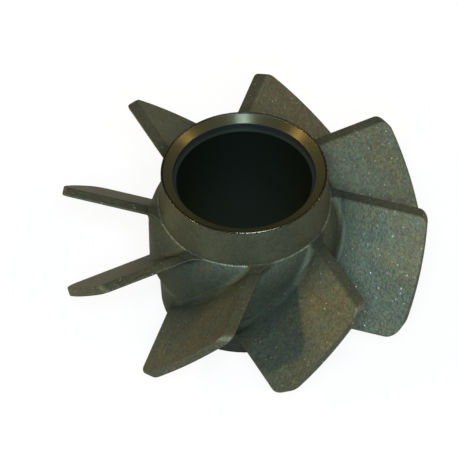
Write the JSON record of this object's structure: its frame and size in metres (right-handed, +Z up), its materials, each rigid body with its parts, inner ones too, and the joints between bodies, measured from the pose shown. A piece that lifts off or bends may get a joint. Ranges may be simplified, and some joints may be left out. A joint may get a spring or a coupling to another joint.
{
  "type": "pump impeller",
  "caption": "Cast axial-flow pump impeller: hub with a plain through bore and a ring of flat inclined blades that move liquid along the shaft.",
  "frame": {"origin": "centre of the hub's lower face, on the bore axis", "axes": "+Z up along the bore towards the nose, +X along the first blade"},
  "size_m": [0.1, 0.1, 0.0474],
  "materials": {
    "casting": "grit-blasted cast surface with a thin olive tint; bore and nose turned"
  },
  "bodies": {
    "root": {"impeller": "casting"}
  },
  "joints": []
}
